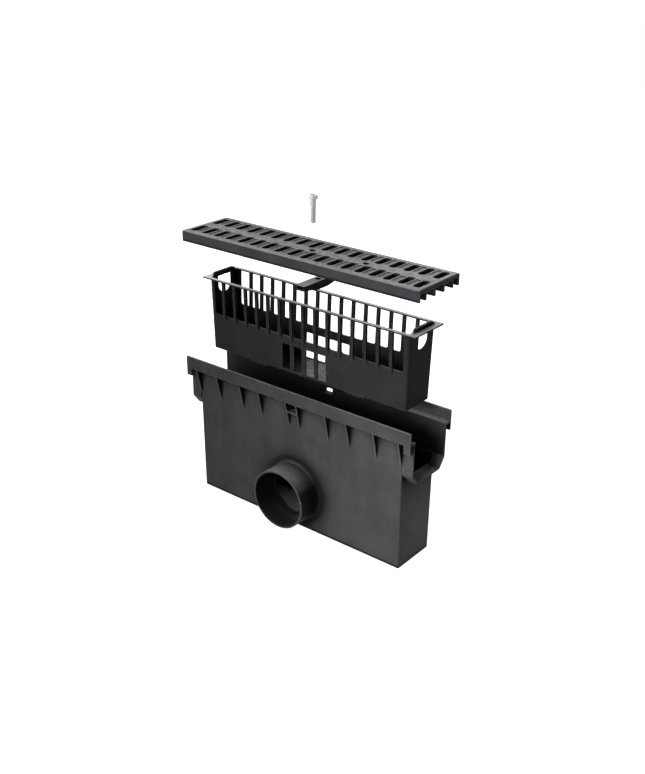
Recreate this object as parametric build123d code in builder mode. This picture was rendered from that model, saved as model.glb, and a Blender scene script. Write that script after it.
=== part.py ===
from build123d import *
from math import radians, tan
import os

os.makedirs("parts", exist_ok=True)

# Channel drain sump unit: X runs along the channel, Y across it, Z up from the underside.
# The outlet points to -Y.  All sizes are in millimetres.

# Rails and grate seat
unit_length = 500.0
rail_width = 120.0
rail_wall = 3.0
seat_depth = 20.0
sump_height = 270.0
ledge_thickness = 3.0
end_tab_length = 12.0
end_tab_drop = 14.0

# Hopper below the rails, its long walls leaning in towards the floor
hopper_top_width = 96.0
hopper_floor_width = 90.0
hopper_wall = 3.0
hopper_edge_radius = 2.5

# U-shaped collars that join the sump to the channels at its two ends
collar_reach = 22.0
invert_height = 171.5
collar_wall = 3.0
collar_setback = 1.0
collar_bevel_width = 14.0
collar_bevel_height = 18.0

# Outlet spigot for a 110 mm pipe
outlet_diameter = 110.0
outlet_height = 73.0
outlet_reach = 94.5
outlet_wall = 3.2
outlet_shoulder = 5.0
outlet_root = 8.0

# Gussets under the ledges, the middle pair standing either side of the crossbar pocket
pocket_gusset_offset = 12.0
gusset_end_insets = (2.0, 52.0, 108.0, 153.0)
gusset_thickness = 3.0
gusset_drop = 50.0
pocket_drop = 5.0
pocket_height = 12.0
pocket_floor_thickness = 3.0
pocket_floor_reach = 8.0

# Slotted grate
grate_side_clearance = 0.75
grate_plate = 7.0
grate_side_wall = 4.5
grate_edge_chamfer = 1.5
grate_rib_thickness = 4.0
grate_rib_offsets = (12.5, 37.5)
grate_end_margin = 8.0
grate_slot_pitch = 27.6
grate_slot_width = 13.0
grate_slot_length = 36.0
grate_slot_corner = 3.0
grate_row_offset = 27.5
tread_recess_width = 8.0
tread_recess_length = 31.0
tread_recess_depth = 1.0
tread_recess_shift = 1.5
boss_diameter = 24.0
boss_pitches = (0, 4)
bolt_hole_clearance = 0.5
bolt_hole_chamfer = 1.25

# Grate bolt, a low-head M10 screw with a hexagon socket
bolt_diameter = 10.0
bolt_length = 40.0
bolt_head_diameter = 16.0
bolt_head_height = 6.5
bolt_head_edge = 0.8
bolt_tip_chamfer = 1.2
bolt_socket_flats = 8.0
bolt_socket_depth = 4.0

# Locking crossbar and the nut caught in it
crossbar_side_clearance = 0.5
crossbar_top_clearance = 0.3
crossbar_reach = 2.5
crossbar_end_height = 9.0
crossbar_middle_height = 14.0
crossbar_edge_radius = 2.0
crossbar_end_grip = 8.0
crossbar_middle_length = 26.0
crossbar_recess_width = 13.0
crossbar_recess_height = 4.5
crossbar_recess_depth = 12.0
nut_flats = 16.0
nut_height = 8.0
nut_clearance = 0.2
nut_thread_clearance = 0.1
nut_web = 4.0

# Silt basket
sill_bearing = 2.8
basket_depth = 133.5
basket_draft = 1.6
basket_end_gap = 9.5
basket_flange_side = 4.3
basket_side_clearance = 3.6
basket_flange_thickness = 2.5
basket_wall = 2.5
basket_corner_radius = 3.0
basket_end_post = 9.0
basket_slot_pitch = 25.9
basket_bar_width = 5.5
basket_slot_height = 64.5
basket_slot_corner = 3.0
basket_bar_stand = 2.4
basket_bar_taper = 10.0
drain_slot_count = 4
drain_slot_width = 18.0
drain_slot_height = 47.0
drain_slot_sill = 4.5
foot_length = 40.0
foot_end_offset = 105.5
foot_inset = 2.0
foot_height = 4.5
grip_half_width = 16.5
grip_depth = 32.5
handle_rise = 6.4
handle_top_width = 45.0
handle_foot_width = 62.0
handle_stand = 1.8

# Free air between each lifted piece and the one below it, and its shift along the channel
basket_air = 17.0
basket_drift = 8.5
crossbar_air = 15.5
crossbar_drift = 12.0
grate_air = 27.0
bolt_air = 46.5

# Heights and widths that several pieces share
half_length = unit_length / 2
hopper_half_length = half_length - collar_reach
ledge_top = sump_height - seat_depth
ledge_underside = ledge_top - ledge_thickness
hopper_inner_half_length = hopper_half_length - hopper_wall
throat_width = hopper_top_width - 2 * hopper_wall
seat_width = rail_width - 2 * rail_wall
pocket_top = ledge_underside - pocket_drop
pocket_bottom = pocket_top - pocket_height
pocket_width = 2 * pocket_gusset_offset - gusset_thickness
wall_lean = (hopper_top_width - hopper_floor_width) / 2 / ledge_top

# Heights by which the pieces are lifted off their seats
basket_height = basket_depth + foot_height + handle_rise
basket_lift = sump_height + basket_air + foot_height + basket_depth
basket_lift -= invert_height + basket_flange_thickness
crossbar_lift = sump_height + basket_air + basket_height + crossbar_air + crossbar_middle_height
crossbar_lift -= pocket_top - crossbar_top_clearance
grate_lift = pocket_top - crossbar_top_clearance + crossbar_lift + grate_air - ledge_top
bolt_lift = grate_lift + bolt_air + bolt_length


# Outside half width of the hopper at a height above the underside
def hopper_half_width(height):
    return hopper_floor_width / 2 + wall_lean * height


# Sump body, one moulding with its rails, collars, gussets and outlet spigot
gusset_places = [pocket_gusset_offset]
gusset_places += [hopper_half_length - inset for inset in gusset_end_insets]
gusset_foot = ledge_underside - gusset_drop
collar_end = half_length - collar_setback
collar_length = collar_end - hopper_half_length
collar_half_width = throat_width / 2
outlet_bore = outlet_diameter - 2 * outlet_wall
outlet_top = outlet_height + outlet_diameter / 2
outlet_wall_plane = hopper_half_width(outlet_height - outlet_diameter / 2 - outlet_root)
outlet_start = hopper_half_width(outlet_height) - hopper_wall

with BuildPart() as sump_body:
    # Hopper with its sloping long walls
    with BuildSketch(Plane.YZ):
        with BuildLine():
            Polyline(
                (-hopper_floor_width / 2, 0),
                (hopper_floor_width / 2, 0),
                (hopper_top_width / 2, ledge_top),
                (-hopper_top_width / 2, ledge_top),
                close=True,
            )
        make_face()
    extrude(amount=hopper_half_length, both=True)
    upright_edges = sump_body.edges().filter_by(lambda e: abs((e @ 1 - e @ 0).Z) > ledge_underside)
    fillet(upright_edges, radius=hopper_edge_radius)
    fillet(sump_body.faces().sort_by(Axis.Z)[0].edges(), radius=hopper_edge_radius)

    # Outlet spigot, blended into the front wall
    with BuildSketch(Plane.YZ):
        with BuildLine():
            Polyline(
                (-outlet_wall_plane, outlet_top + outlet_root),
                (-outlet_start, outlet_top + outlet_root),
                (-outlet_start, outlet_height),
                (-outlet_reach, outlet_height),
                (-outlet_reach, outlet_top),
                (-outlet_wall_plane - outlet_root, outlet_top),
            )
            JernArc((-outlet_wall_plane - outlet_root, outlet_top), (1, 0), outlet_root, 90)
        make_face()
    revolve(axis=Axis((0, 0, outlet_height), (0, 1, 0)))

    # Collars that take the channel ends
    for side in (-1, 1):
        with BuildSketch(Plane.YZ.offset(side * hopper_half_length)):
            with BuildLine():
                Polyline(
                    (-collar_half_width - collar_wall, ledge_top),
                    (-collar_half_width - collar_wall, invert_height - collar_wall + collar_bevel_height),
                    (-collar_half_width - collar_wall + collar_bevel_width, invert_height - collar_wall),
                    (collar_half_width + collar_wall - collar_bevel_width, invert_height - collar_wall),
                    (collar_half_width + collar_wall, invert_height - collar_wall + collar_bevel_height),
                    (collar_half_width + collar_wall, ledge_top),
                    close=True,
                )
            make_face()
        extrude(amount=side * collar_length)

    # Rails and the ledges that carry the grate
    with BuildSketch(Plane.YZ):
        with Locations((0, sump_height)):
            Rectangle(rail_width, seat_depth + ledge_thickness, align=(Align.CENTER, Align.MAX))
    extrude(amount=half_length, both=True)

    # Coupling tabs that hang from the four rail ends
    tab_centre = half_length - end_tab_length / 2
    tab_middle = (rail_width - rail_wall) / 2
    with BuildSketch(Plane.XY.offset(ledge_underside)):
        with GridLocations(2 * tab_centre, 2 * tab_middle, 2, 2):
            Rectangle(end_tab_length, rail_wall)
    extrude(amount=-end_tab_drop)

    # Triangular gussets between ledge and wall
    for place in gusset_places:
        for side in (-1, 1):
            with BuildSketch(Plane.YZ.offset(side * place - gusset_thickness / 2)):
                for face in (-1, 1):
                    with BuildLine():
                        Polyline(
                            (face * (hopper_half_width(gusset_foot) - hopper_wall / 2), gusset_foot),
                            (face * hopper_half_width(gusset_foot), gusset_foot),
                            (face * rail_width / 2, ledge_underside),
                            (face * (hopper_half_width(ledge_underside) - hopper_wall / 2), ledge_underside),
                            close=True,
                        )
                    make_face()
            extrude(amount=gusset_thickness)

    # Floors of the two crossbar pockets
    pocket_floor_width = hopper_half_width(pocket_bottom) + pocket_floor_reach
    with BuildSketch(Plane.XY.offset(pocket_bottom)):
        Rectangle(2 * pocket_gusset_offset, 2 * pocket_floor_width)
    extrude(amount=-pocket_floor_thickness)

    # Hollow of the hopper, open at the top between the ledges
    with BuildSketch(Plane.YZ):
        with BuildLine():
            Polyline(
                (-hopper_half_width(hopper_wall) + hopper_wall, hopper_wall),
                (hopper_half_width(hopper_wall) - hopper_wall, hopper_wall),
                (throat_width / 2, ledge_top),
                (-throat_width / 2, ledge_top),
                close=True,
            )
        make_face()
    extrude(amount=hopper_inner_half_length, both=True, mode=Mode.SUBTRACT)

    # Grate seat between the rails
    with BuildSketch(Plane.YZ):
        with Locations((0, sump_height)):
            Rectangle(seat_width, seat_depth, align=(Align.CENTER, Align.MAX))
    extrude(amount=half_length, both=True, mode=Mode.SUBTRACT)

    # Open channel ends: a square sill in each end wall and a bevelled trough in each collar
    with BuildSketch(Plane.YZ):
        with Locations((0, invert_height)):
            Rectangle(
                2 * (hopper_half_width(invert_height) - hopper_wall),
                ledge_top - invert_height,
                align=(Align.CENTER, Align.MIN),
            )
    extrude(amount=hopper_half_length, both=True, mode=Mode.SUBTRACT)
    with BuildSketch(Plane.YZ):
        with BuildLine():
            Polyline(
                (-collar_half_width, ledge_top),
                (-collar_half_width, invert_height + collar_bevel_height),
                (-collar_half_width + collar_bevel_width, invert_height),
                (collar_half_width - collar_bevel_width, invert_height),
                (collar_half_width, invert_height + collar_bevel_height),
                (collar_half_width, ledge_top),
                close=True,
            )
        make_face()
    extrude(amount=half_length, both=True, mode=Mode.SUBTRACT)

    # Outlet bore, stepped in where it passes through the wall
    with BuildSketch(Plane.XZ.offset(outlet_reach)):
        with Locations((0, outlet_height)):
            Circle(outlet_bore / 2)
    extrude(amount=-(outlet_reach - hopper_half_width(outlet_height)), mode=Mode.SUBTRACT)
    with BuildSketch(Plane.XZ.offset(outlet_reach)):
        with Locations((0, outlet_height)):
            Circle(outlet_bore / 2 - outlet_shoulder)
    extrude(amount=-outlet_reach, mode=Mode.SUBTRACT)

    # Openings in both long walls for the ends of the crossbar
    with BuildSketch(Plane.XZ):
        with Locations((0, pocket_bottom)):
            Rectangle(pocket_width, pocket_height, align=(Align.CENTER, Align.MIN))
    extrude(amount=hopper_half_width(ledge_top), both=True, mode=Mode.SUBTRACT)

sump_body.part.label = "sump_body"
export_step(sump_body.part, "parts/sump_body.step")


# Slotted grate, seated on the ledges with its top flush with the rails
grate_width = seat_width - 2 * grate_side_clearance
grate_bottom = ledge_top + grate_lift
grate_top = grate_bottom + seat_depth
boss_places = [count * grate_slot_pitch for count in boss_pitches]
tread_row_offset = grate_row_offset + tread_recess_shift
slots_each_side = int((half_length - grate_end_margin - grate_slot_width / 2) / grate_slot_pitch + 0.5)

with BuildPart() as slotted_grate:
    with BuildSketch(Plane.XY.offset(grate_top)):
        Rectangle(unit_length, grate_width)
    extrude(amount=-grate_plate)
    chamfer(slotted_grate.faces().sort_by(Axis.Z)[-1].edges(), length=grate_edge_chamfer)

    # Side walls and long ribs under the plate
    rib_height = seat_depth - grate_plate
    with BuildSketch(Plane.XY.offset(grate_bottom)):
        with GridLocations(0, grate_width - grate_side_wall, 1, 2):
            Rectangle(unit_length, grate_side_wall)
        for offset_y in grate_rib_offsets:
            with GridLocations(0, 2 * offset_y, 1, 2):
                Rectangle(unit_length, grate_rib_thickness)
    extrude(amount=rib_height)

    # Two rows of slots
    with BuildSketch(Plane.XY.offset(grate_top)) as grate_slots:
        with GridLocations(grate_slot_pitch, 2 * grate_row_offset, 2 * slots_each_side, 2):
            Rectangle(grate_slot_width, grate_slot_length)
        chamfer(grate_slots.vertices(), length=grate_slot_corner)
    extrude(amount=-grate_plate, mode=Mode.SUBTRACT)

    # Shallow recesses in the bars between the slots
    with BuildSketch(Plane.XY.offset(grate_top)):
        with GridLocations(grate_slot_pitch, 2 * tread_row_offset, 2 * slots_each_side - 1, 2):
            Rectangle(tread_recess_width, tread_recess_length)
    extrude(amount=-tread_recess_depth, mode=Mode.SUBTRACT)

    # Bolt bosses through the spine
    with BuildSketch(Plane.XY.offset(grate_bottom)):
        with Locations([(place, 0) for place in boss_places]):
            Circle(boss_diameter / 2)
    extrude(amount=rib_height + grate_plate - tread_recess_depth)
    with BuildSketch(Plane.XY.offset(grate_bottom)):
        with Locations([(place, 0) for place in boss_places]):
            Circle(bolt_diameter / 2 + bolt_hole_clearance)
    extrude(amount=seat_depth, mode=Mode.SUBTRACT)
    top_rings = (
        slotted_grate.edges()
        .filter_by(GeomType.CIRCLE)
        .filter_by(lambda e: abs(e.radius - bolt_diameter / 2 - bolt_hole_clearance) < 0.01)
        .group_by(Axis.Z)[-1]
    )
    chamfer(top_rings, length=bolt_hole_chamfer)

slotted_grate.part.label = "slotted_grate"
export_step(slotted_grate.part, "parts/slotted_grate.step")


# Locking crossbar, its ends in the pockets of the two long walls
crossbar_width = pocket_width - 2 * crossbar_side_clearance
crossbar_half_length = hopper_half_width(pocket_top) - hopper_wall + crossbar_reach
crossbar_top = pocket_top - crossbar_top_clearance + crossbar_lift
crossbar_bottom = crossbar_top - crossbar_middle_height
crossbar_end_bottom = crossbar_top - crossbar_end_height
nut_top = crossbar_top - nut_web

with BuildPart() as locking_crossbar:
    # Flat top and a belly that deepens towards the nut
    with BuildSketch(Plane.YZ.offset(crossbar_drift)):
        with BuildLine():
            Polyline(
                (-crossbar_half_length, crossbar_top),
                (crossbar_half_length, crossbar_top),
                (crossbar_half_length, crossbar_end_bottom),
                (crossbar_half_length - crossbar_end_grip, crossbar_end_bottom),
                (crossbar_middle_length / 2, crossbar_bottom),
                (-crossbar_middle_length / 2, crossbar_bottom),
                (-crossbar_half_length + crossbar_end_grip, crossbar_end_bottom),
                (-crossbar_half_length, crossbar_end_bottom),
                close=True,
            )
        make_face()
    extrude(amount=crossbar_width / 2, both=True)
    end_edges = locking_crossbar.edges().filter_by(Axis.Z)
    fillet(end_edges, radius=crossbar_edge_radius)

    # Cored-out ends
    for side in (-1, 1):
        with BuildSketch(Plane.XZ.offset(side * crossbar_half_length)):
            with Locations((crossbar_drift, crossbar_top - crossbar_end_height / 2)):
                Rectangle(crossbar_recess_width, crossbar_recess_height)
        extrude(amount=-side * crossbar_recess_depth, mode=Mode.SUBTRACT)

    # Bolt hole in the web and the hexagon pocket that holds the nut from below
    with BuildSketch(Plane.XY.offset(crossbar_bottom)):
        with Locations((crossbar_drift, 0)):
            Circle(bolt_diameter / 2 + bolt_hole_clearance)
    extrude(amount=crossbar_middle_height, mode=Mode.SUBTRACT)
    with BuildSketch(Plane.XY.offset(nut_top)):
        with Locations((crossbar_drift, 0)):
            RegularPolygon(nut_flats / 2 + nut_clearance, 6, major_radius=False)
    extrude(amount=-crossbar_middle_height, mode=Mode.SUBTRACT)

locking_crossbar.part.label = "locking_crossbar"
export_step(locking_crossbar.part, "parts/locking_crossbar.step")


# Nut pressed into the crossbar
with BuildPart() as captive_nut:
    with BuildSketch(Plane.XY.offset(nut_top)):
        with Locations((crossbar_drift, 0)):
            RegularPolygon(nut_flats / 2, 6, major_radius=False)
            Circle(bolt_diameter / 2 + nut_thread_clearance, mode=Mode.SUBTRACT)
    extrude(amount=-nut_height)

captive_nut.part.label = "captive_nut"
export_step(captive_nut.part, "parts/captive_nut.step")


# Grate bolt, drawn above the middle boss
bolt_seat = sump_height + bolt_lift
shank_radius = bolt_diameter / 2
bolt_head_top = bolt_seat + bolt_head_height

with BuildPart() as grate_bolt:
    with BuildSketch(Plane.XZ):
        with BuildLine():
            Polyline(
                (0, bolt_seat - bolt_length),
                (shank_radius - bolt_tip_chamfer, bolt_seat - bolt_length),
                (shank_radius, bolt_seat - bolt_length + bolt_tip_chamfer),
                (shank_radius, bolt_seat),
                (bolt_head_diameter / 2, bolt_seat),
                (bolt_head_diameter / 2, bolt_head_top - bolt_head_edge),
                (bolt_head_diameter / 2 - bolt_head_edge, bolt_head_top),
                (0, bolt_head_top),
                close=True,
            )
        make_face()
    revolve(axis=Axis.Z)
    with BuildSketch(Plane.XY.offset(bolt_head_top)):
        RegularPolygon(bolt_socket_flats / 2, 6, major_radius=False)
    extrude(amount=-bolt_socket_depth, mode=Mode.SUBTRACT)

grate_bolt.part.label = "grate_bolt"
export_step(grate_bolt.part, "parts/grate_bolt.step")


# Silt basket, hung by its end flanges on the sills of the channel ends
basket_seat = invert_height + basket_lift
basket_rim = basket_seat + basket_flange_thickness
basket_floor = basket_rim - basket_depth
basket_flange_length = 2 * (hopper_inner_half_length + sill_bearing)
basket_flange_width = 2 * (hopper_half_width(invert_height) - hopper_wall - basket_side_clearance)
draft_spread = basket_depth * tan(radians(basket_draft))
basket_rim_length = 2 * (hopper_inner_half_length - basket_end_gap)
basket_rim_width = basket_flange_width - 2 * basket_flange_side
basket_floor_length = basket_rim_length - 2 * draft_spread
basket_floor_width = basket_rim_width - 2 * draft_spread
foot_offset = basket_floor_length / 2 - foot_end_offset
bars_reach = basket_rim_length / 2 - basket_end_post - (basket_slot_pitch - basket_bar_width) / 2
basket_slot_count = 2 * int(bars_reach / basket_slot_pitch + 0.5)


# Outside half width of the basket's long walls at a height above its floor
def basket_half_width(height):
    return basket_floor_width / 2 + draft_spread * height / basket_depth


with BuildPart() as silt_basket:
    with BuildSketch(Plane.XY.offset(basket_floor)):
        with Locations((basket_drift, 0)):
            RectangleRounded(basket_floor_length, basket_floor_width, basket_corner_radius)
    extrude(amount=basket_depth, taper=-basket_draft)

    # Flange round the rim
    with BuildSketch(Plane.XY.offset(basket_seat)):
        with Locations((basket_drift, 0)):
            Rectangle(basket_flange_length, basket_flange_width)
    extrude(amount=basket_flange_thickness)

    # Bars that stand proud of the long walls and fade out below the slots
    bar_bottom = basket_depth - basket_flange_thickness - basket_slot_height - basket_bar_taper
    bar_top = basket_depth - basket_flange_thickness
    for number in range(basket_slot_count - 1):
        place = basket_drift + (number - (basket_slot_count - 2) / 2) * basket_slot_pitch
        with BuildSketch(Plane.YZ.offset(place - basket_bar_width / 2)):
            for face in (-1, 1):
                with BuildLine():
                    Polyline(
                        (face * (basket_half_width(bar_bottom) - basket_wall / 2), basket_floor + bar_bottom),
                        (face * basket_half_width(bar_bottom), basket_floor + bar_bottom),
                        (
                            face * (basket_half_width(bar_bottom + basket_bar_taper) + basket_bar_stand),
                            basket_floor + bar_bottom + basket_bar_taper,
                        ),
                        (face * (basket_half_width(bar_top) + basket_bar_stand), basket_floor + bar_top),
                        (face * (basket_half_width(bar_top) - basket_wall / 2), basket_floor + bar_top),
                        close=True,
                    )
                make_face()
        extrude(amount=basket_bar_width)

    # Low feet under the floor
    with BuildSketch(Plane.XY.offset(basket_floor)):
        with Locations((basket_drift, 0)):
            with GridLocations(2 * foot_offset, 0, 2, 1):
                Rectangle(foot_length, basket_floor_width - 2 * foot_inset)
    extrude(amount=-foot_height)

    # Raised grips over the two ends
    handle_face = basket_rim_length / 2 + handle_stand
    for side in (-1, 1):
        with BuildSketch(Plane.YZ.offset(basket_drift + side * handle_face)):
            with BuildLine():
                Polyline(
                    (-handle_foot_width / 2, basket_seat),
                    (-handle_foot_width / 2, basket_rim),
                    (-handle_top_width / 2, basket_rim + handle_rise),
                    (handle_top_width / 2, basket_rim + handle_rise),
                    (handle_foot_width / 2, basket_rim),
                    (handle_foot_width / 2, basket_seat),
                    close=True,
                )
            make_face()
        extrude(amount=-side * (handle_stand + basket_wall))

    # Hollow of the basket
    with BuildSketch(Plane.XY.offset(basket_floor + basket_wall)):
        with Locations((basket_drift, 0)):
            Rectangle(basket_floor_length - 2 * basket_wall, basket_floor_width - 2 * basket_wall)
    extrude(amount=basket_depth, taper=-basket_draft, mode=Mode.SUBTRACT)

    # Tall slots through both long walls
    slot_middle = basket_seat - basket_slot_height / 2
    with BuildSketch(Plane.XZ) as tall_slots:
        with Locations((basket_drift, slot_middle)):
            with GridLocations(basket_slot_pitch, 0, basket_slot_count, 1):
                Rectangle(basket_slot_pitch - basket_bar_width, basket_slot_height)
        chamfer(tall_slots.vertices().group_by(Axis.Y)[0], length=basket_slot_corner)
    extrude(amount=basket_flange_width / 2, both=True, mode=Mode.SUBTRACT)

    # Lower drain slots at the middle of both long walls
    with BuildSketch(Plane.XZ):
        with Locations((basket_drift, basket_floor + drain_slot_sill + drain_slot_height / 2)):
            with GridLocations(basket_slot_pitch, 0, drain_slot_count, 1):
                Rectangle(drain_slot_width, drain_slot_height)
    extrude(amount=basket_flange_width / 2, both=True, mode=Mode.SUBTRACT)

    # Round-bottomed finger grips under the end flanges
    grip_bottom = basket_seat - grip_depth
    with BuildSketch(Plane.YZ.offset(basket_drift)):
        with Locations((0, grip_bottom + grip_half_width)):
            Circle(grip_half_width)
            Rectangle(
                2 * grip_half_width, grip_depth - grip_half_width, align=(Align.CENTER, Align.MIN)
            )
    extrude(amount=basket_flange_length / 2, both=True, mode=Mode.SUBTRACT)

silt_basket.part.label = "silt_basket"
export_step(silt_basket.part, "parts/silt_basket.step")
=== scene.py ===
import math

import bmesh
import bpy
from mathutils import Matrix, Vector


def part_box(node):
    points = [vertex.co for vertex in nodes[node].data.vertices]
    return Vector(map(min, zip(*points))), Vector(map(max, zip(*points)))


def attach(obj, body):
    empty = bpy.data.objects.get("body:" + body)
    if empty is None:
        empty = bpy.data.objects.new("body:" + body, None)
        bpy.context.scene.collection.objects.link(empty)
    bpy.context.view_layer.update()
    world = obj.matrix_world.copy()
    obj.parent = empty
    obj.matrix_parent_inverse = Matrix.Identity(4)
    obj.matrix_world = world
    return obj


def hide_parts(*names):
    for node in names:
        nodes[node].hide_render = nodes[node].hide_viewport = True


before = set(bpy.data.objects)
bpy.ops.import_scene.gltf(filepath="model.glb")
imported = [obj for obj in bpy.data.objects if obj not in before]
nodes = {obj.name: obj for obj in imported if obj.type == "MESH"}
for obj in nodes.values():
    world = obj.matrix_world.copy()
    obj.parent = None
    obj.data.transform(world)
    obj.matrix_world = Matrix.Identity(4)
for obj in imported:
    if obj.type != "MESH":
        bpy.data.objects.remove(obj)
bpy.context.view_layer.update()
scene = bpy.context.scene
print("frame loaded:", ", ".join(sorted(nodes)))


# shader maths written as plain expressions
class Sock:
    def __init__(self, tree, link):
        self.tree = tree
        self.link = link

    def math(self, operation, *others):
        values = [self.link]
        values += [other.link if isinstance(other, Sock) else other for other in others]
        return self.tree.add("ShaderNodeMath", {"operation": operation}, dict(enumerate(values)))

    def flipped(self, operation, other):
        return self.tree.add("ShaderNodeMath", {"operation": operation}, {0: other, 1: self.link})

    def __add__(self, other):
        return self.math("ADD", other)

    def __radd__(self, other):
        return self.flipped("ADD", other)

    def __sub__(self, other):
        return self.math("SUBTRACT", other)

    def __rsub__(self, other):
        return self.flipped("SUBTRACT", other)

    def __mul__(self, other):
        return self.math("MULTIPLY", other)

    def __rmul__(self, other):
        return self.flipped("MULTIPLY", other)

    def clamp(self):
        return self.math("MAXIMUM", 0.0).math("MINIMUM", 1.0)

    def step(self, low, high):
        return self.tree.add(
            "ShaderNodeMapRange",
            {"interpolation_type": "SMOOTHSTEP"},
            {"Value": self.link, "From Min": low, "From Max": high},
        )

    def rise(self, place, width):
        return self.step(place, place + width)


# a node tree of a material or of the world, with one method that adds any node
class Shade:
    def __init__(self, owner):
        self.owner = owner
        owner.use_nodes = True
        self.tree = owner.node_tree
        self.tree.nodes.clear()
        self.last = None

    def add(self, kind, settings=None, inputs=None, out=0):
        node = self.tree.nodes.new(kind)
        for key, value in (settings or {}).items():
            setattr(node, key, value)
        for key, value in (inputs or {}).items():
            if isinstance(value, Sock):
                value = value.link
            if isinstance(value, bpy.types.NodeSocket):
                self.tree.links.new(value, node.inputs[key])
            else:
                node.inputs[key].default_value = value
        self.last = node
        return None if out is None else Sock(self, node.outputs[out])

    def blend(self, mask, first, second):
        mixed = self.add("ShaderNodeMix", {"data_type": "RGBA"}, {0: mask}, out=2)
        for slot, shade in ((6, first), (7, second)):
            if isinstance(shade, Sock):
                self.tree.links.new(shade.link, self.last.inputs[slot])
            else:
                self.last.inputs[slot].default_value = (*shade, 1.0)
        return mixed

    def vector(self, operation, first, second, out=0):
        return self.add(
            "ShaderNodeVectorMath", {"operation": operation}, {0: first, 1: second}, out=out
        )

    def axis(self, vector, number):
        return self.add("ShaderNodeSeparateXYZ", {}, {0: vector}, out=number)

    def noise(self, where, scale, detail=3.0, rough=0.55):
        return self.add(
            "ShaderNodeTexNoise",
            {"noise_dimensions": "3D"},
            {"Vector": where, "Scale": scale, "Detail": detail, "Roughness": rough},
        )

    def streaks(self, where, stretch, detail=3.0, rough=0.55):
        return self.noise(self.vector("MULTIPLY", where, stretch), 1.0, detail, rough)

    def edgeTurn(self, facing, width):
        softEdge = self.add("ShaderNodeBevel", {"samples": 6}, {"Radius": width})
        return softEdge, 1.0 - self.vector("DOT_PRODUCT", softEdge, facing, out=1)

    def bump(self, height, strength, distance, under):
        return self.add(
            "ShaderNodeBump",
            {},
            {"Height": height, "Strength": strength, "Distance": distance, "Normal": under},
        )

    def finish(self, inputs):
        surface = self.add("ShaderNodeBsdfPrincipled", {}, inputs)
        self.add("ShaderNodeOutputMaterial", {}, {"Surface": surface}, out=None)
        return self.owner


# the grate's top: its upper band takes the tone of its dished bars, depths in metres
barMarks = {
    "bandFrom": 0.0026,
    "bandTo": 0.0014,
    "bandOpen": (0.5, 0.85),
    "bandShare": 0.85,
    "dishFrom": 0.0009,
    "dishTo": 0.0003,
    "dishShare": 0.8,
}


def upperBand(shade, look, base, height, hollow):
    top = look["sunkBelow"]
    band = height.step(top - barMarks["bandFrom"], top - barMarks["bandTo"])
    band = band * hollow.step(*barMarks["bandOpen"]) * barMarks["bandShare"]
    return shade.blend(band, base, look["sunk"])


def dishedBars(shade, look, base, height, upward):
    top = look["sunkBelow"]
    dish = upward * (1.0 - height.step(top - barMarks["dishFrom"], top - barMarks["dishTo"]))
    return shade.blend(dish * barMarks["dishShare"], base, look["sunk"])


# painted light and shade on the basket's floor: the floor painted dark as shade, with a speckled
# pool of painted light across it
floorLightMarks = {
    "floorFade": 0.0005,
    "across": (1.0, 0.8, 0.0),  # the patch starts and ends across this direction
    "waver": 0.02,
    "startFade": 0.006,
    "endFade": 0.03,
    "floorShadeShare": 0.9,
    "even": 0.45,
    "speckled": 0.55,
    "speckles": (0.4, 0.62),
}


def paintedFloorLight(shade, look, base, where, height, upward, cloud, fleck):
    bottom = (1.0 - height.rise(look["floorLightBelow"], floorLightMarks["floorFade"])) * upward
    along = shade.vector("DOT_PRODUCT", where, floorLightMarks["across"], out=1)
    along = along + (cloud - 0.5) * floorLightMarks["waver"]
    patch = along.rise(look["floorLightFrom"], floorLightMarks["startFade"])
    patch = patch * (1.0 - along.step(look["floorLightTo"] - floorLightMarks["endFade"], look["floorLightTo"]))
    base = shade.blend(bottom * floorLightMarks["floorShadeShare"], base, look["paintedShade"])
    cover = floorLightMarks["even"] + fleck.step(*floorLightMarks["speckles"]) * floorLightMarks["speckled"]
    return shade.blend(bottom * patch * cover, base, look["silt"])


# the outlet: painted shade at its root on the front wall and in its bore past the wall, and little
# painted top light inside
outletMarks = {
    "boreFade": 0.0004,
    "topLightInside": 0.25,
    "topLightOutside": 0.75,
    "rootStart": 0.0008,
    "rootEnd": 0.006,
    "rootShare": 0.7,
    "frontWall": (-0.03, -0.01),
    "pastWall": (-0.07, -0.055),
    "boreShare": 0.6,
}


def paintedOutletShade(shade, look, base, where, around, outside):
    across = shade.axis(where, 1)
    end = outletMarks["rootEnd"]
    root = around.rise(look["rootFrom"], outletMarks["rootStart"])
    root = root * (1.0 - across.step(*outletMarks["frontWall"]))
    root = root * (1.0 - around.step(look["rootTo"] - end, look["rootTo"] + end))
    base = shade.blend(root * outletMarks["rootShare"], base, look["paintedShade"])
    bore = (1.0 - outside) * (1.0 - across.step(*outletMarks["pastWall"]))
    return shade.blend(bore * outletMarks["boreShare"], base, look["paintedShade"])


# the lowest edge: painted shadow along it outside, and painted light where a floor looks up
lowMarks = {"fade": 0.003, "share": 0.85}


def lowestEdge(shade, look, base, height, upward):
    low = 1.0 - height.rise(look["lowEdge"], lowMarks["fade"])
    base = shade.blend(low * lowMarks["share"], base, look["paintedShade"])
    return shade.blend(low * upward * look["floorFade"], base, look["paintedTopLight"])


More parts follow.
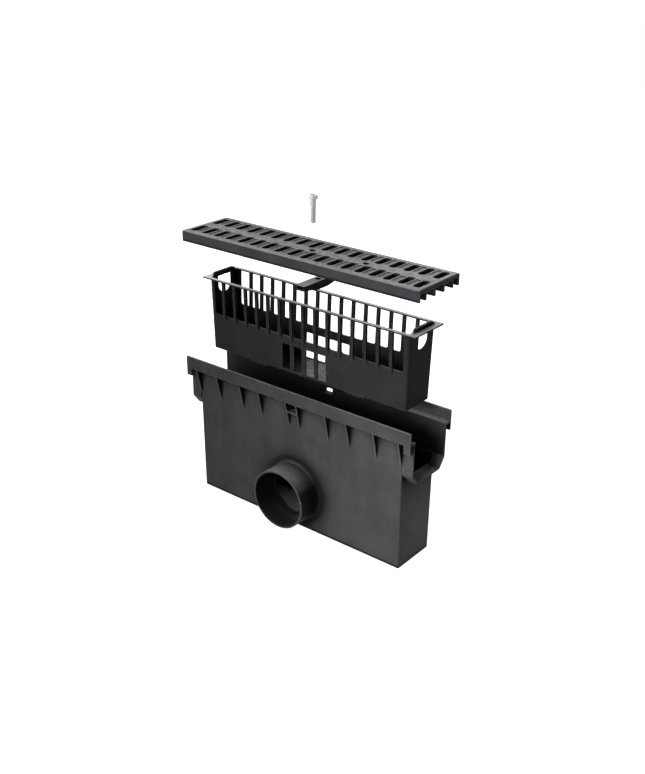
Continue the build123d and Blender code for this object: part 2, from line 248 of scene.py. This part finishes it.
# what all the moulded plastic shares: scales and stretches of its noises, the ranges of them that
# count, the slopes of the faces that do, and lengths in metres
plastic = {
    "cloudScale": 16.0,
    "cloudRange": (0.35, 0.7),
    "cloudShare": 0.6,
    "flowStretch": (34.0, 34.0, 5.0),
    "flowRange": (0.4, 0.75),
    "flowShare": 0.4,
    "flowBump": 0.18,
    "flowHeight": 0.0006,
    "grainScale": 1500.0,
    "grainHeight": 0.00012,
    "scuffStretch": (90.0, 260.0, 420.0),
    "scuffRange": (0.25, 0.75),
    "wearAndHighlightFrom": 0.01,
    "wearAndHighlightOpen": (0.75, 0.95),
    "upward": (0.4, 0.95),
    "slopeStart": (0.45, 0.6),
    "slopeEnd": (0.8, 0.92),
    "endFaces": (0.8, 0.95),
    "rimFade": 0.0008,
    "rimShare": 0.9,
    "topLightStop": 0.001,
    "topLightOpen": (0.45, 0.72),
    "topLightCloud": (0.3, 0.7),
    "topLightEven": 0.75,
    "topLightUneven": 0.25,
    "mottleRange": (0.42, 0.62),
    "markRange": (0.66, 0.78),
    "markRough": 0.05,
    "cloudRough": 0.16,
    "grainRough": 0.04,
}


def mouldedPlastic(look):
    shade = Shade(bpy.data.materials.new(look["name"]))
    where = shade.add("ShaderNodeTexCoord", {}, {}, out=3)
    facing = shade.add("ShaderNodeNewGeometry", {}, {}, out=1)
    height = shade.axis(where, 2)
    tilt = shade.axis(facing, 2)
    upward = tilt.step(*plastic["upward"])
    slope = tilt.step(*plastic["slopeStart"]) * (1.0 - tilt.step(*plastic["slopeEnd"]))
    cloud = shade.noise(where, plastic["cloudScale"], 4.0)
    fleck = shade.noise(where, look["fleckScale"], 3.0, 0.6)
    grain = shade.noise(where, plastic["grainScale"], 2.0)
    flow = shade.streaks(where, plastic["flowStretch"])
    scuff = shade.streaks(where, plastic["scuffStretch"], 5.0, 0.7)
    softEdge, turn = shade.edgeTurn(facing, look["edgeWidth"])
    # ambient occlusion of the piece alone, which sets where shade is painted
    hollow = shade.add(
        "ShaderNodeAmbientOcclusion",
        {"samples": 8, "only_local": True},
        {"Distance": look["hollowReach"]},
        out=1,
    )

    patches = cloud.step(*plastic["cloudRange"]) * plastic["cloudShare"]
    patches = patches + flow.step(*plastic["flowRange"]) * plastic["flowShare"]
    base = shade.blend(patches, look["dark"], look["light"])

    # painted shade in the hollows, more so on end faces, and not on the rim
    aside = shade.axis(facing, 0).math("ABSOLUTE").step(*plastic["endFaces"])
    clear = (hollow - aside * (1.0 - hollow)).step(look["hollowFrom"], look["hollowTo"])
    rim = height.rise(look["rimFrom"], plastic["rimFade"]) * plastic["rimShare"]
    base = shade.blend(clear.math("MAXIMUM", rim), look["paintedShade"], base)
    if look["sunkBelow"]:
        base = upperBand(shade, look, base, height, hollow)

    # painted light on the tops: lighter where it faces up and lies open, less so low down, with
    # clouds and mottling
    paintedTopLight = height.step(look["topLightLow"], look["topLightHigh"])
    paintedTopLight = paintedTopLight * (1.0 - look["topLightBelow"]) + look["topLightBelow"]
    paintedTopLight = paintedTopLight * (1.0 - height.rise(look["topLightEnd"], plastic["topLightStop"]))
    paintedTopLight = upward * paintedTopLight * hollow.step(*plastic["topLightOpen"]).math("MAXIMUM", rim)
    paintedTopLight = paintedTopLight * look["topLightShare"]
    uneven = cloud.step(*plastic["topLightCloud"]) * plastic["topLightUneven"]
    paintedTopLight = paintedTopLight * (plastic["topLightEven"] + uneven)
    paintedTopLight = paintedTopLight * (1.0 - fleck.step(*plastic["mottleRange"]) * look["mottle"])
    # less painted top light inside the outlet's bore
    if look["outletAt"]:
        flat = shade.vector("MULTIPLY", where, (1.0, 0.0, 1.0))
        around = shade.vector("DISTANCE", flat, look["outletAt"], out=1)
        outside = around.rise(look["boreAt"], outletMarks["boreFade"])
        paintedTopLight = paintedTopLight * (outletMarks["topLightInside"] + outside * outletMarks["topLightOutside"])
    base = shade.blend(paintedTopLight, base, look["paintedTopLight"])

    if look["sunkBelow"]:
        base = dishedBars(shade, look, base, height, upward)
    if look["floorLightBelow"]:
        base = paintedFloorLight(shade, look, base, where, height, upward, cloud, fleck)

    # painted light on sloping faces, and rubbed wear with a painted highlight on edges that stand
    # free
    base = shade.blend(slope * look["paintedSlopeLight"], base, look["wearAndHighlight"])
    wearAndHighlight = turn.step(plastic["wearAndHighlightFrom"], look["wearAndHighlightTo"]) * scuff.step(*plastic["scuffRange"])
    wearAndHighlight = wearAndHighlight * hollow.step(*plastic["wearAndHighlightOpen"]) * look["wearAndHighlightShare"]
    base = shade.blend(wearAndHighlight, base, look["wearAndHighlight"])
    if look["outletAt"]:
        base = paintedOutletShade(shade, look, base, where, around, outside)
    if look["lowEdge"]:
        base = lowestEdge(shade, look, base, height, upward)

    marks = scuff.step(*plastic["markRange"]) * plastic["markRough"]
    rough = look["rough"] + (cloud - 0.5) * plastic["cloudRough"]
    rough = rough + marks + grain * plastic["grainRough"]
    skin = shade.bump(grain, look["grain"], plastic["grainHeight"], softEdge)
    waves = shade.bump(flow, plastic["flowBump"], plastic["flowHeight"], skin)
    return shade.finish(
        {
            "Base Color": base,
            "Roughness": rough,
            "Specular IOR Level": look["gloss"],
            "Normal": waves,
        }
    )


# what the bolt and the nut share
steel = {
    "cloudScale": 220.0,
    "cloudRange": (0.3, 0.7),
    "cloudRough": 0.2,
    "latheStretch": (120.0, 120.0, 5200.0),
    "latheRough": 0.08,
    "latheBump": 0.25,
    "latheHeight": 0.00004,
    "wornRange": (0.02, 0.3),
    "wornShare": 0.5,
}


def turnedSteel(look):
    shade = Shade(bpy.data.materials.new(look["name"]))
    where = shade.add("ShaderNodeTexCoord", {}, {}, out=3)
    facing = shade.add("ShaderNodeNewGeometry", {}, {}, out=1)
    cloud = shade.noise(where, steel["cloudScale"], 4.0)
    lathe = shade.streaks(where, steel["latheStretch"], 2.0)
    softEdge, turn = shade.edgeTurn(facing, look["edgeWidth"])
    worn = turn.step(*steel["wornRange"]) * steel["wornShare"]
    base = shade.blend(cloud.step(*steel["cloudRange"]), look["dark"], look["light"])
    base = shade.blend(worn, base, look["wearAndHighlight"])
    rough = look["rough"] + (cloud - 0.5) * steel["cloudRough"] + lathe * steel["latheRough"]
    skin = shade.bump(lathe, steel["latheBump"], steel["latheHeight"], softEdge)
    return shade.finish(
        {"Base Color": base, "Roughness": rough, "Metallic": 1.0, "Normal": skin}
    )


# finish of each piece: heights, widths and places in metres
sumpLook = {
    "name": "sumpCharcoal",
    "dark": (0.031, 0.031, 0.0325),
    "light": (0.046, 0.046, 0.0465),
    # the colour of the painted shade in hollows, at the outlet and along the lowest edge
    "paintedShade": (0.005, 0.005, 0.0055),
    # the colour of rubbed wear with a painted highlight on edges, and of the painted light on
    # slopes
    "wearAndHighlight": (0.24, 0.24, 0.242),
    "wearAndHighlightShare": 0.8,
    "wearAndHighlightTo": 0.2,
    "paintedSlopeLight": 0.0,
    "mottle": 0.15,
    "fleckScale": 210.0,
    # the colour of the painted light on upward faces
    "paintedTopLight": (0.15, 0.15, 0.152),
    "topLightShare": 0.85,
    "topLightBelow": 0.85,
    "topLightLow": 0.18,
    "topLightHigh": 0.245,
    "topLightEnd": 1.0,
    "rimFrom": 0.2490,
    "sunkBelow": None,
    "floorLightBelow": None,
    "lowEdge": 0.0045,
    # share of painted light on the floor inside
    "floorFade": 1.0,
    "outletAt": (0.0, 0.0, 0.073),
    "boreAt": 0.0519,
    "rootFrom": 0.0552,
    "rootTo": 0.065,
    "hollowReach": 0.14,
    "hollowFrom": 0.6,
    "hollowTo": 0.92,
    "rough": 0.5,
    "gloss": 0.02,
    "grain": 0.35,
    "edgeWidth": 0.0018,
}
basketLook = dict(
    sumpLook,
    name="basketBlack",
    outletAt=None,
    lowEdge=None,
    dark=(0.015, 0.015, 0.016),
    light=(0.02, 0.02, 0.021),
    # painted light on the basket's rim top
    paintedTopLight=(0.5, 0.5, 0.5),
    topLightShare=1.0,
    topLightBelow=0.1,
    topLightLow=0.40,
    topLightHigh=0.403,
    topLightEnd=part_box("silt_basket")[1].z - 0.004,
    rimFrom=1.0,
    edgeWidth=0.0009,
    hollowReach=0.08,
    hollowFrom=0.25,
    hollowTo=0.85,
    # the colour of the painted pool of light on the basket's floor
    silt=(0.24, 0.24, 0.235),
    floorLightBelow=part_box("silt_basket")[0].z + 0.01,
    floorLightFrom=-0.022,
    floorLightTo=0.1,
)
grateLook = dict(
    sumpLook,
    name="grateGrey",
    floorFade=0.0,
    outletAt=None,
    # painted shadow along the grate's lowest edge
    lowEdge=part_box("slotted_grate")[0].z + 0.0025,
    dark=(0.034, 0.034, 0.039),
    light=(0.052, 0.052, 0.057),
    paintedShade=(0.004, 0.004, 0.004),
    wearAndHighlight=(0.4, 0.395, 0.38),
    wearAndHighlightTo=0.09,
    paintedSlopeLight=0.3,
    rimFrom=1.0,
    mottle=0.6,
    fleckScale=115.0,
    edgeWidth=0.0016,
    paintedTopLight=(0.178, 0.176, 0.168),
    topLightShare=1.0,
    topLightBelow=1.0,
    sunkBelow=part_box("slotted_grate")[1].z,
    sunk=(0.06, 0.059, 0.057),
    grain=0.5,
    gloss=0.05,
    hollowReach=0.02,
    hollowFrom=0.4,
    hollowTo=0.8,
)
crossbarLook = dict(
    basketLook,
    name="crossbarBlack",
    # painted light on the crossbar's top, under the grate
    paintedTopLight=(0.6, 0.6, 0.6),
    topLightBelow=1.0,
    topLightEnd=1.0,
    hollowReach=0.012,
    floorLightBelow=None,
)
boltLook = {
    "name": "stainlessBolt",
    "dark": (0.4, 0.4, 0.41),
    "light": (0.47, 0.47, 0.48),
    "wearAndHighlight": (0.4, 0.4, 0.41),
    "rough": 0.62,
    "edgeWidth": 0.0004,
}
nutLook = dict(
    boltLook,
    name="zincNut",
    dark=(0.36, 0.37, 0.39),
    light=(0.56, 0.57, 0.58),
    rough=0.34,
)

finishes = {
    "sump_body": mouldedPlastic(sumpLook),
    "silt_basket": mouldedPlastic(basketLook),
    "slotted_grate": mouldedPlastic(grateLook),
    "locking_crossbar": mouldedPlastic(crossbarLook),
    "captive_nut": turnedSteel(nutLook),
    "grate_bolt": turnedSteel(boltLook),
}
print("finishes made:", len(finishes))

# how far each piece's edges are rounded, in metres
edges = {
    "sump_body": 0.0006,
    "silt_basket": 0.0005,
    "slotted_grate": 0.0006,
    "locking_crossbar": 0.0005,
    "captive_nut": 0.0003,
}
rounding = {"weld": 0.000002, "segments": 2, "sharpAngle": math.radians(28)}


def softenEdges(piece, width):
    weld = piece.modifiers.new("joinFaces", "WELD")
    weld.merge_threshold = rounding["weld"]
    bevel = piece.modifiers.new("roundEdges", "BEVEL")
    bevel.width = width
    bevel.segments = rounding["segments"]
    bevel.limit_method = "ANGLE"
    bevel.angle_limit = rounding["sharpAngle"]
    bevel.use_clamp_overlap = True
    bevel.harden_normals = False
    bevel.miter_outer = "MITER_ARC"


for name, piece in nodes.items():
    piece.data.materials.clear()
    piece.data.materials.append(finishes[name])
    if name in edges:
        softenEdges(piece, edges[name])
print("pieces finished")

# the bolt with its rolled thread and hexagon socket, in metres
bolt = {
    "radius": 0.005,
    "pitch": 0.0015,
    "threadDepth": 0.0006,
    "crestTop": 1.5,
    "crestSlope": 2.9,
    "plain": 0.0115,
    "tip": 0.0012,
    "tipTaper": 0.0009,
    "tipEdge": 0.0004,
    "neck": 0.0004,
    "headRadius": 0.008,
    "headHeight": 0.0065,
    "headEdge": 0.0009,
    "edgeShoulder": 0.3,
    "headUnderEdge": 0.0003,
    "socketFlats": 0.008,
    "socketMouth": 0.64,
    "socketLead": 0.0004,
    "socketDepth": 0.004,
    "socketEnd": 0.2,
    "socketCone": 0.0012,
    "around": 48,
    "perPitch": 8,
}


def ringOf(mesh, centre, height, radii):
    ring = []
    for number, radius in enumerate(radii):
        angle = 2 * math.pi * number / len(radii)
        x = centre[0] + radius * math.cos(angle)
        y = centre[1] + radius * math.sin(angle)
        ring.append(mesh.verts.new((x, y, height)))
    return ring


def joinRings(mesh, lower, upper):
    count = len(lower)
    for number in range(count):
        after = (number + 1) % count
        mesh.faces.new((lower[number], lower[after], upper[after], upper[number]))


def roundRadii(radius):
    return [radius] * bolt["around"]


def hexagonRadii():
    radii = []
    for number in range(bolt["around"]):
        angle = 2 * math.pi * number / bolt["around"]
        turn = (angle + math.pi / 6) % (math.pi / 3) - math.pi / 6
        radii.append(bolt["socketFlats"] / 2 / math.cos(turn))
    return radii


def threadRadii(risen, left):
    runOut = min(1.0, left / bolt["pitch"])
    taper = bolt["tipTaper"] * max(0.0, 1.0 - risen / bolt["tip"])
    radii = []
    for number in range(bolt["around"]):
        phase = (risen / bolt["pitch"] - number / bolt["around"]) % 1.0
        crest = max(0.0, min(1.0, bolt["crestTop"] - bolt["crestSlope"] * abs(phase - 0.5)))
        radii.append(bolt["radius"] - bolt["threadDepth"] * (1.0 - crest) * runOut - taper)
    return radii


def makeBolt():
    low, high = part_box("grate_bolt")
    centre = ((low.x + high.x) / 2, (low.y + high.y) / 2)
    seat = high.z - bolt["headHeight"]
    threadTop = seat - bolt["plain"]
    threadLength = threadTop - low.z
    steps = int(threadLength / bolt["pitch"] * bolt["perPitch"])
    radius = bolt["radius"]
    headRadius = bolt["headRadius"]
    headEdge = bolt["headEdge"]
    shoulder = headEdge * bolt["edgeShoulder"]
    socketFloor = high.z - bolt["socketDepth"]
    hexagon = hexagonRadii()

    profile = [(low.z, roundRadii(radius - bolt["threadDepth"] - bolt["tipEdge"]))]
    for level in range(1, steps):
        height = low.z + threadLength * level / steps
        profile.append((height, threadRadii(height - low.z, threadTop - height)))
    profile += [
        (threadTop, roundRadii(radius)),
        (seat - bolt["neck"], roundRadii(radius)),
        (seat, roundRadii(radius + bolt["neck"])),
        (seat, roundRadii(headRadius - bolt["headUnderEdge"])),
        (seat + bolt["headUnderEdge"], roundRadii(headRadius)),
        (high.z - headEdge, roundRadii(headRadius)),
        (high.z - shoulder, roundRadii(headRadius - shoulder)),
        (high.z, roundRadii(headRadius - headEdge)),
        (high.z, roundRadii(bolt["socketFlats"] * bolt["socketMouth"])),
        (high.z - bolt["socketLead"], hexagon),
        (socketFloor, hexagon),
        (socketFloor - bolt["socketCone"], roundRadii(bolt["socketFlats"] * bolt["socketEnd"])),
    ]

    mesh = bmesh.new()
    rings = [ringOf(mesh, centre, height, radii) for height, radii in profile]
    mesh.faces.new(list(reversed(rings[0])))
    for lower, upper in zip(rings, rings[1:]):
        joinRings(mesh, lower, upper)
    mesh.faces.new(rings[-1])
    data = bpy.data.meshes.new("boltThreaded")
    bmesh.ops.recalc_face_normals(mesh, faces=mesh.faces)
    mesh.to_mesh(data)
    mesh.free()
    data.set_sharp_from_angle(angle=rounding["sharpAngle"])
    piece = bpy.data.objects.new("boltThreaded", data)
    scene.collection.objects.link(piece)
    data.materials.append(finishes["grate_bolt"])
    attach(piece, "root")
    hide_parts("grate_bolt")


makeBolt()
print("bolt threaded")

# floor and surroundings: white to the camera and in reflections, plain and pale to the lamps
stage = {
    "size": 70.0,
    "drop": 0.0002,
    "floorGrey": 0.35,
    "floorRough": 0.9,
    "floorGloss": 0.1,
    "glow": 0.96,
    "surroundSoft": 0.05,
    "surroundSeen": 1.0,
}


def greyOf(level):
    return (level,) * 3


def seenDirectly(shade):
    camera = shade.add("ShaderNodeLightPath", {}, {}, out="Is Camera Ray")
    rayKinds = shade.last.outputs
    glossy = Sock(shade, rayKinds["Is Glossy Ray"])
    through = Sock(shade, rayKinds["Is Transmission Ray"])
    return (camera + glossy + through).clamp()


def makeFloor():
    bpy.ops.mesh.primitive_plane_add(size=stage["size"], location=(0, 0, -stage["drop"]))
    floor = bpy.context.object
    floor.name = "studioFloor"
    shade = Shade(bpy.data.materials.new("paleFloor"))
    glow = shade.blend(seenDirectly(shade), greyOf(0.0), greyOf(stage["glow"]))
    paint = {
        "Base Color": (*greyOf(stage["floorGrey"]), 1.0),
        "Roughness": stage["floorRough"],
        "Specular IOR Level": stage["floorGloss"],
        "Emission Color": glow,
        "Emission Strength": 1.0,
    }
    floor.data.materials.append(shade.finish(paint))


def makeSurround():
    scene.world = bpy.data.worlds.new("paleSurround")
    shade = Shade(scene.world)
    soft = greyOf(stage["surroundSoft"])
    seen = greyOf(stage["surroundSeen"])
    colour = shade.blend(seenDirectly(shade), soft, seen)
    sky = shade.add("ShaderNodeBackground", {}, {"Color": colour})
    shade.add("ShaderNodeOutputWorld", {}, {"Surface": sky}, out=None)


makeFloor()
makeSurround()

# soft lamps: a broad one from the left for the tops, one in front on the left, one behind, and two
# narrow beams for the right half of the long side and for the end
lamps = [
    {
        "name": "keyLamp",
        "place": (-2.1, 0.5, 2.0),
        "aim": (0.0, 0.0, 0.35),
        "size": 1.7,
        "power": 90.0,
        "spread": 180.0,
    },
    {
        "name": "frontLamp",
        "place": (-1.0, -2.0, 1.2),
        "aim": (0.0, 0.0, 0.25),
        "size": 2.2,
        "power": 55.0,
        "spread": 180.0,
    },
    {
        "name": "rightLamp",
        "place": (0.3, -1.3, 0.7),
        "aim": (0.27, 0.0, 0.12),
        "size": 0.4,
        "power": 1.5,
        "spread": 36.0,
    },
    {
        "name": "backLamp",
        "place": (-0.6, 2.2, 0.9),
        "aim": (0.0, 0.0, 0.25),
        "size": 1.4,
        "power": 42.0,
        "spread": 180.0,
    },
    {
        "name": "endLamp",
        "place": (0.75, 0.1, 0.05),
        "aim": (0.23, 0.0, 0.06),
        "size": 0.15,
        "power": 0.08,
        "spread": 34.0,
    },
]
for lamp in lamps:
    light = bpy.data.lights.new(lamp["name"], "AREA")
    light.shape = "DISK"
    light.size = lamp["size"]
    light.energy = lamp["power"]
    light.spread = math.radians(lamp["spread"])
    holder = bpy.data.objects.new(lamp["name"], light)
    holder.location = lamp["place"]
    aim = Vector(lamp["aim"]) - Vector(lamp["place"])
    holder.rotation_euler = aim.to_track_quat("-Z", "Y").to_euler()
    scene.collection.objects.link(holder)

# camera at the photograph's angle and in its frame, 645 by 774
shot = {
    "azimuth": 38.5,
    "elevation": 24.54,
    "distance": 1.802,
    "aim": (0.0236, 0.0, 0.26566),
    "roll": 0.61,
    "lens": 48.21,
    "sensor": 36.0,
    "frameWide": 645,
    "frameHigh": 774,
    "nearest": 0.01,
    "farthest": 50.0,
}


def makeCamera():
    lens = bpy.data.cameras.new("shotCamera")
    lens.sensor_fit = "VERTICAL"
    lens.sensor_height = shot["sensor"]
    lens.sensor_width = shot["sensor"] * shot["frameWide"] / shot["frameHigh"]
    lens.lens = shot["lens"]
    lens.clip_start = shot["nearest"]
    lens.clip_end = shot["farthest"]
    camera = bpy.data.objects.new("shotCamera", lens)
    scene.collection.objects.link(camera)
    turn = math.radians(shot["azimuth"])
    rise = math.radians(shot["elevation"])
    level = math.cos(rise)
    back = Vector((math.sin(turn) * level, -math.cos(turn) * level, math.sin(rise)))
    camera.location = Vector(shot["aim"]) + back * shot["distance"]
    facing = (-back).to_track_quat("-Z", "Y").to_matrix().to_4x4()
    facing.translation = camera.location
    camera.matrix_world = facing
    camera.rotation_euler.rotate_axis("Z", math.radians(shot["roll"]))
    scene.camera = camera


makeCamera()
scene.view_settings.view_transform = "Standard"
print("stage, lamps and camera set")
